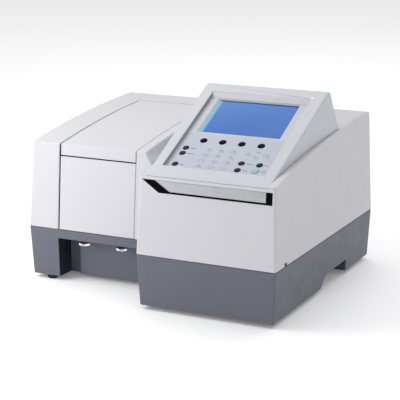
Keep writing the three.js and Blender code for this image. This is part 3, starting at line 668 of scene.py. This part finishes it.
def key_panel():
    """The sheet that the keys stand in, with round holes and a display window whose walls slope."""
    bm = bmesh.new()
    corners = [(PANEL_LOW.x, PANEL_LOW.y), (PANEL_HIGH.x, PANEL_LOW.y),
               (PANEL_HIGH.x, PANEL_HIGH.y), (PANEL_LOW.x, PANEL_HIGH.y)]
    slab(bm, rounded_outline(corners, 1.2), SUNK - SHEET, SUNK, Matrix.Identity(4))
    piece = link("key_panel_sheet", mesh_of("key_panel_sheet", bm), "panel_pale", FACE)
    tools = bmesh.new()
    for node, place in KEY_PLACES.items():
        lip = key_radius(node) + (0.12 if key_look(node) == "key_pale" else 0.35)
        profile = [(0, -1), (lip, -1), (lip, SHEET - 0.35), (lip + 0.9, SHEET + 0.55), (0, SHEET + 0.55)]
        lathe(tools, profile, 36, Matrix.Translation(Vector((place.x, place.y, SUNK - SHEET)) * MM))
    x0, x1, y0, y1 = WINDOW
    low = [(x0, y0), (x1, y0), (x1, y1), (x0, y1)]
    left, right, front, back = WINDOW_SLOPE
    wide = [(x0 - left, y0 - front), (x1 + right, y0 - front),
            (x1 + right, y1 + back), (x0 - left, y1 + back)]
    levels = [(low, SUNK - SHEET - 1), (low, SUNK - SHEET + 0.3), (wide, SUNK), (wide, SUNK + 1)]
    rings = [[tools.verts.new(Vector((x, y, z)) * MM) for x, y in outline] for outline, z in levels]
    tools.faces.new(rings[0][::-1])
    tools.faces.new(rings[-1])
    for under, over in zip(rings, rings[1:]):
        wall(tools, under, over)
    cut(piece, tools)
    shade_smooth(piece.data)
    return stand_in(piece, "key_panel")


MATERIALS["panel_pale"] = keypad_sheet((WINDOW[2] - 6) * MM)
MATERIALS["screen_blue"] = lit_display(WINDOW[0] * MM, WINDOW[1] * MM, WINDOW[2] * MM, WINDOW[3] * MM)
key_panel()


def upper_ramp():
    """The housing's lip over the display: it slopes from the face down to the key panel."""
    x0, x1 = PANEL_LOW.x + 0.05, PANEL_HIGH.x - 0.05
    head = PANEL_HIGH.y + 0.2
    foot = WINDOW[3] + WINDOW_SLOPE[3] + 0.2
    profile = [(head, SUNK + 0.05), (head, -0.45), (head - 0.8, -0.6),
               (foot, SUNK + 0.35), (foot, SUNK + 0.05)]
    bm = bmesh.new()
    ends = [[bm.verts.new(Vector((x, y, z)) * MM) for y, z in profile] for x in (x0, x1)]
    bm.faces.new(ends[0])
    bm.faces.new(ends[1][::-1])
    wall(bm, ends[0], ends[1])
    extra(link("upper_ramp", mesh_of("upper_ramp", bm), "console_white", FACE), "chassis")


upper_ramp()


def display():
    """A thin module with a stepped glass edge, and black rubber bars along the window's upper, lower and
    right edges: the thin lower and right bars are a gasket, the wide upper bar is a painted shadow."""
    bm = bmesh.new()
    step = GLASS_HIGH.z - 0.5
    block(bm, GLASS_LOW.x, GLASS_HIGH.x, GLASS_LOW.y, GLASS_HIGH.y, GLASS_LOW.z, step)
    block(bm, GLASS_LOW.x + 1, GLASS_HIGH.x - 1, GLASS_LOW.y + 1, GLASS_HIGH.y - 1, step, GLASS_HIGH.z,
          inset=0.3)
    module = link("display_module", mesh_of("display_module", bm), "screen_blue", FACE)
    stand_in(module, "lcd_screen")
    bm = bmesh.new()
    x0, x1, y0, y1 = WINDOW
    thin, wide = 0.3, 1.6
    # The wide upper bar is a painted shadow under the window's upper wall; the thin bars are a gasket.
    for bar in ((x0, x1, y1 - wide, y1), (x0, x1, y0, y0 + thin), (x1 - thin, x1, y0 + thin, y1 - wide)):
        block(bm, *bar, GLASS_HIGH.z, GLASS_HIGH.z + 0.25, inset=0.05)
    strip_and_shadow = link("display_strip_and_shadow", mesh_of("display_strip_and_shadow", bm), "rubber_black", FACE)
    extra(strip_and_shadow, "chassis")


display()

SYMBOL_SIZE = 5.4
ARROWS = {"key_left": 90, "key_right": -90, "key_up": 0, "key_down": 180}


def symbol(node):
    """Flat outlines (mm) of the generic mark on a pale key, or text for a numeral."""
    if node in ARROWS:
        turn = Matrix.Rotation(math.radians(ARROWS[node]), 3, "Z")
        return [[tuple((turn @ Vector(p).to_3d()).xy) for p in ((-1.3, -0.8), (1.3, -0.8), (0, 1.3))]]
    if node == "key_point":
        angles = [k * math.pi / 6 for k in range(12)]
        return [[(0.45 * math.cos(a), 0.45 * math.sin(a) - 0.7) for a in angles]]
    if node == "key_sign":
        return [[(-1.1, -0.2), (1.1, -0.2), (1.1, 0.2), (-1.1, 0.2)]]
    return node[-1] if node[-1].isdigit() and node not in FUNCTION_KEYS else None


def numeral_mesh(text):
    curve = bpy.data.curves.new("numeral", "FONT")
    curve.body = text
    curve.size = SYMBOL_SIZE * MM
    curve.align_x = "CENTER"
    curve.align_y = "CENTER"
    curve.extrude = 0.00003
    holder = bpy.data.objects.new("numeral", curve)
    bpy.context.scene.collection.objects.link(holder)
    bpy.context.view_layer.update()
    made = bpy.data.meshes.new_from_object(holder.evaluated_get(bpy.context.evaluated_depsgraph_get()))
    bpy.data.objects.remove(holder)
    bpy.data.curves.remove(curve)
    return made


def key_cap(node):
    """A domed cap on a collared stem. Pale keys carry a printed mark let flat onto a shallow dish."""
    place = KEY_PLACES[node]
    r = key_radius(node)
    mark = symbol(node)
    crown = 0.0 if mark is None else -0.25
    top_z = KEY_TOP if mark is None else PALE_KEY_TOP
    rim = [(r - 0.55 + 0.55 * math.sin(a), top_z - 0.95 + 0.55 * math.cos(a))
           for a in (math.pi / 2, math.pi / 3, math.pi / 6, 0)]
    dome = [(r * share, top_z - 0.4 + (0.4 + crown) * (1 - share ** 2)) for share in (0.75, 0.55, 0.3)]
    profile = [(0, COLLAR_LOW), (r + 0.6, COLLAR_LOW), (r + 1, COLLAR_LOW + 0.5), (r + 1, COLLAR_TOP),
               (r, COLLAR_TOP), *rim, *dome, (0, top_z + crown)]
    at = Matrix.Translation(Vector((place.x, place.y, 0)) * MM)
    bm = lathe(bmesh.new(), profile, 40, at)
    bmesh.ops.recalc_face_normals(bm, faces=bm.faces)
    body_faces = len(bm.faces)
    top = Matrix.Translation(Vector((place.x, place.y, top_z + crown)) * MM)
    if isinstance(mark, str):
        data = numeral_mesh(mark)
        data.transform(top)
        bm.from_mesh(data)
        bpy.data.meshes.remove(data)
    elif mark:
        for outline in mark:
            slab(bm, outline, -0.15, 0.05, top)
    bm.faces.ensure_lookup_table()
    for face in bm.faces[body_faces:]:
        face.material_index = 1
    data = bpy.data.meshes.new(node + "_cap")
    bm.to_mesh(data)
    bm.free()
    shade_smooth(data, 40)
    looks = [key_look(node)] + (["key_ink"] if mark else [])
    stand_in(link(node + "_cap", data, looks, FACE), node)


for key_node in KEY_NODES:
    key_cap(key_node)


def printed_marks():
    """Plain printed bars beside the dark keys, in place of words."""
    bm = bmesh.new()
    bars = {"key_side_upper": 9, "key_side_middle": 11, "key_side_lower": 7,
            "key_clear": 10, "key_print": 7, "key_return": 8, "key_start": 8}
    for node, length in bars.items():
        x = KEY_PLACES[node].x + key_radius(node) + 3.2
        y = KEY_PLACES[node].y
        dash = 1.9
        count = int(length / (dash + 0.5))
        for k in range(count):
            start = x + k * (dash + 0.5)
            slab(bm, [(start, y - 0.7), (start + dash, y - 0.7), (start + dash, y + 0.7), (start, y + 0.7)],
                 SUNK - 0.02, SUNK + 0.03, Matrix.Identity(4))
    extra(link("panel_print", mesh_of("panel_print", bm), "key_ink", FACE), "chassis")


printed_marks()


# A small white dome on the status_led node that glows: a painted glint at the key recess's upper right
# corner.
def glint_dot():
    low, high = on_face("status_led")
    centre = (low + high) / 2
    at = Matrix.Translation(Vector((centre.x, centre.y, 0)) * MM)
    profile = [(0, low.z), (1.5, low.z), (1.5, 0.1), (1.42, 0.3), (1.1, 0.48), (0.6, 0.57), (0, 0.6)]
    data = mesh_of("glint_dot", lathe(bmesh.new(), profile, 24, at))
    shade_smooth(data, 50)
    stand_in(link("glint_dot", data, "led_white", FACE), "status_led")


glint_dot()

# ---- Badge --------------------------------------------------------------------------------------

NOSE_FRONT_Y = -190.5
NOSE_LEAN = 0.055
SEAM_Z = 79.0
BADGE_LOW = 167.5           # height of the strip's lower edge
BADGE_HIGH = 184.0
BADGE_SHOULDER = 169.9      # height where the black stops and the silver plate begins


def nose_plane():
    """The forward block's front wall: its own x runs to the right, y up the wall, z out of it."""
    up = Vector((0, NOSE_LEAN, 1)).normalized()
    right = Vector((1, 0, 0))
    out = right.cross(up)
    place = Matrix((right, up, out)).transposed().to_4x4()
    place.translation = Vector((0, NOSE_FRONT_Y, SEAM_Z)) * MM
    return place


def rimmed(piece, width):
    rim = piece.modifiers.new("rim", "BEVEL")
    rim.width = width
    rim.segments = 2
    return piece


def badge():
    """A gloss black strip with a slanted end, carrying a blank satin silver plate."""
    place = nose_plane()
    stretch = math.sqrt(1 + NOSE_LEAN ** 2)

    def up(z):
        return (z - SEAM_Z) * stretch

    bm = bmesh.new()
    low, high, shoulder = up(BADGE_LOW), up(BADGE_HIGH), up(BADGE_SHOULDER)
    outline = [(11.0, high), (36.6, low), (201.4, low), (201.4, high), (192.7, high),
               (192.7, shoulder), (52.0, shoulder), (29.5, high)]
    slab(bm, outline, -0.4, 0.3, place)
    black = link("badge_trim", mesh_of("badge_trim", bm), "badge_black")
    stand_in(rimmed(black, 0.00018), "badge")
    bm = bmesh.new()
    plate_low, plate_high = up(BADGE_SHOULDER + 0.2), up(183.6)
    plate = [(33.0, plate_high), (53.5, plate_low), (192.3, plate_low), (192.3, plate_high)]
    slab(bm, plate, -0.4, 0.12, place)
    silver = link("badge_plate", mesh_of("badge_plate", bm), "badge_silver")
    extra(rimmed(silver, 0.0001), "chassis")


badge()

# ---- Thumbscrews and feet -----------------------------------------------------------------------


def thumbscrew(node):
    """A turned head with a fine straight knurl and chamfers, black above its lower band, on a threaded
    shank."""
    low, high = BOX[node]
    x, y = (low.x + high.x) / 2, (low.y + high.y) / 2
    top = high.z - 15.5
    band = top - 4.2
    knurl = 72

    def ripple(radius, height, k):
        return -0.32 if k % 2 and radius > 8.2 and top - 7.0 < height < top - 0.6 else 0.0

    profile = [(0, top - 8.8), (5.2, top - 8.8), (6.0, top - 8.2), (6.3, top - 7.5), (7.7, top - 7.5),
               (8.3, top - 7.2), (8.7, top - 6.8), (8.75, top - 5.0), (8.75, band), (8.75, top - 1.0),
               (8.3, top - 0.3), (7.6, top), (3.4, top)]
    thread = []
    for k in range(9):
        z = top + 0.3 + 1.6 * k
        thread += [(2.8, z), (2.35, z + 0.8)]
    profile += thread + [(2.4, high.z - 0.4), (1.8, high.z), (0, high.z)]
    bm = lathe(bmesh.new(), profile, 2 * knurl, Matrix.Translation(Vector((x, y, 0)) * MM), ripple)
    data = mesh_of(node + "_turned", bm)
    shade_smooth(data, 25)
    for face in data.polygons:
        face.material_index = int(face.center.z > band * MM)
    stand_in(link(node + "_turned", data, ["chrome_bright", "black_plastic"]), node)


def rubber_foot(node):
    """A bumper foot with a rounded tread edge and two grip rings."""
    low, high = BOX[node]
    x, y = (low.x + high.x) / 2, (low.y + high.y) / 2
    r = (high.y - low.y) / 2
    profile = [(0, 0.25), (2.6, 0.25), (2.9, 0.0), (4.3, 0.0), (4.6, 0.3), (5.2, 0.3), (5.5, 0.0),
               (r - 1.2, 0.0), (r - 0.5, 0.2), (r - 0.1, 0.7), (r, 1.3), (r, high.z - 0.6),
               (r - 0.3, high.z - 0.1), (r - 0.7, high.z), (0, high.z)]
    at = Matrix.Translation(Vector((x, y, 0)) * MM)
    data = mesh_of(node + "_pad", lathe(bmesh.new(), profile, 40, at))
    shade_smooth(data, 35)
    stand_in(link(node + "_pad", data, "rubber_black"), node)


for screw_node in ("thumbscrew_left", "thumbscrew_right"):
    thumbscrew(screw_node)
for foot_node in ("foot_front_left", "foot_front_right", "foot_rear_left", "foot_rear_right"):
    rubber_foot(foot_node)

# ---- Sample compartment -------------------------------------------------------------------------

TUB = (-152, -44, -112, -8)         # left, right, front and rear of the chamber
TUB_MOUTH = 194.5                   # height of the chamber's upper edge
BEAM_ROWS = (-84, -36)              # y of the sample beam and the reference beam
BEAM_HEIGHT = 120

refined("sample_compartment", 0.7, "chamber_black", segments=2)
refined("cell_holder", 0.5, "anodised_black", segments=2)
refined("cuvette", 0.25, "clear_quartz", segments=2)
refined("lid_hinge_pin", 0.3, "steel_plain", segments=2)


def compartment_trim():
    """A foam light seal along the sides and rear of the mouth, and quartz windows in the four beam ports."""
    left, right, front, rear = TUB
    bm = bmesh.new()
    width, edge = 3.6, 0.6
    x0, x1, y0, y1 = left - 1, right + 1, front - 0.6, rear + 6
    for bar in ((x0 - width, x1 + width, y1, y1 + width), (x0 - width, x0, y0, y1), (x1, x1 + width, y0, y1)):
        block(bm, *bar, TUB_MOUTH, TUB_MOUTH + 1.1, inset=edge)
    extra(link("light_seal", mesh_of("light_seal", bm), "foam_black"), "chassis")
    bm = bmesh.new()
    profile = [(0, 0.1), (7.6, 0.1), (7.8, 0.3), (7.8, 0.9), (7.5, 1.1), (0, 1.1)]
    for y in BEAM_ROWS:
        for x, side in ((left + 2.5, 1), (right - 2.5, -1)):
            at = Matrix.Translation(Vector((x - side * 1.2, y, BEAM_HEIGHT)) * MM)
            lathe(bm, profile, 32, at @ Matrix.Rotation(side * math.pi / 2, 4, "Y"))
    data = mesh_of("beam_windows", bm)
    shade_smooth(data, 50)
    extra(link("beam_windows", data, "clear_quartz"), "chassis")


compartment_trim()

# ---- Rear ---------------------------------------------------------------------------------------

refined("power_inlet", 0.5, "black_plastic", segments=2)
refined("power_switch", 0.6, "black_plastic", segments=3)
refined("fan_frame", 0.5, "black_plastic", segments=2)
refined("fan_rotor", 0.4, "black_plastic", segments=2)


# x and z of the screws: three down each side of the rear sheet, then the fan's four.
SHEET_SCREWS = [(x, z) for x in (-21.5, 191.5) for z in (93.5, 147, 201.5)]
FAN_SCREWS = [(x, z) for z in (136, 188) for x in (124, 176)]
CONTACT_LEFT, CONTACT_LOW = 65, 110.3       # the data port's first contact
CONTACT_HALF = 0.35


def rear_details():
    """Pan-head screws of the rear sheet and the fan, and contacts in the data port."""
    back = BOX["rear_panel"][1].y - 1.5
    bm = bmesh.new()
    head = [(0, -0.1), (2.4, -0.1), (2.4, 0.5), (2.1, 0.95), (1.3, 1.25), (0.5, 1.3), (0.4, 0.5), (0, 0.4)]
    for x, z in SHEET_SCREWS + FAN_SCREWS:
        turn = Matrix.Translation(Vector((x, back, z)) * MM) @ Matrix.Rotation(-math.pi / 2, 4, "X")
        lathe(bm, head, 24, turn)
    data = mesh_of("rear_screws", bm)
    shade_smooth(data, 40)
    extra(link("rear_screws", data, "steel_plain"), "chassis")
    bm = bmesh.new()
    for row in range(2):
        for k in range(4):
            x = CONTACT_LEFT + 2 * k
            z = CONTACT_LOW + 3.2 * row
            block(bm, x - CONTACT_HALF, x + CONTACT_HALF, back - 8, back - 3,
                  z - CONTACT_HALF, z + CONTACT_HALF)
    extra(link("port_contacts", mesh_of("port_contacts", bm), "bronze_plain"), "chassis")


rear_details()

# ---- Optics and electronics ---------------------------------------------------------------------

refined("optical_base", 0.8, "cast_alloy", segments=2)
refined("grating_mount", 0.4, "bronze_plain", segments=2)
refined("source_mirror", 0.4, "mirror_coat", segments=2)
refined("filter_wheel", 0.3, "anodised_black", segments=2)
refined("halogen_lamp", 0.3, "lamp_glass", segments=2)
refined("deuterium_lamp", 0.3, "lamp_glass", segments=2)
refined("detector", 0.8, "anodised_black", segments=2)
refined("main_board", 0.2, "board_green", segments=2)
refined("keypad_board", 0.2, "board_green", segments=2)

# ---- Floor and light ----------------------------------------------------------------------------


def floor():
    bm = bmesh.new()
    reach = 12
    corners = ((-reach, -reach, 0), (reach, -reach, 0), (reach, reach, 0), (-reach, reach, 0))
    bm.faces.new([bm.verts.new(corner) for corner in corners])
    made = link("floor", mesh_of("floor", bm), "floor_pale")


def floor_sheet():
    """Matt white paper, with only a faint unevenness of gloss."""
    look = Look("floor_pale", 0.6, base_color=tone(250, 250, 251), specular_ior_level=0.3,
                emission_color=(1.0, 1.0, 1.0, 1.0), emission_strength=0.14)
    look.set("Roughness", look.remap(look.noise(3.0, 2.0), 0.3, 0.7, 0.55, 0.65))
    return look.material


MATERIALS["floor_pale"] = floor_sheet()
floor()

# Area lights: where they stand, what they face, width and height (m), and power (W). The powers are
# rounded values of a least-squares fit to the photo's tones, so they suit its angle first.
LIGHTS = {
    "near_front": ((-0.5, -0.7, 0.35), (-0.12, -0.1, 0.14), 0.3, 0.3, 1.25),
    "near_left": ((-0.65, -0.55, 0.3), (-0.12, -0.1, 0.14), 0.3, 0.3, 0.63),
    "near_top": ((-0.5, -0.35, 0.7), (-0.12, -0.05, 0.2), 0.4, 0.4, 2.5),
    "overhead": ((0, 1.4, 2.3), (0, 0, 0), 3.0, 2.0, 21.5),
}
WORLD_STRENGTH = 0.7        # given: the fit gave 0.76


def make_lights():
    for name, (place, target, width, height, power) in LIGHTS.items():
        data = bpy.data.lights.new(name, "AREA")
        data.shape = "RECTANGLE"
        data.size = width
        data.size_y = height
        data.energy = power
        made = bpy.data.objects.new(name, data)
        made.visible_camera = False
        made.location = place
        made.rotation_euler = (Vector(target) - Vector(place)).to_track_quat("-Z", "Y").to_euler()
        bpy.context.scene.collection.objects.link(made)
    world = bpy.data.worlds.new("studio")
    world.use_nodes = True
    background = world.node_tree.nodes["Background"]
    background.inputs["Color"].default_value = (1, 1, 1, 1)
    background.inputs["Strength"].default_value = WORLD_STRENGTH
    bpy.context.scene.world = world


make_lights()
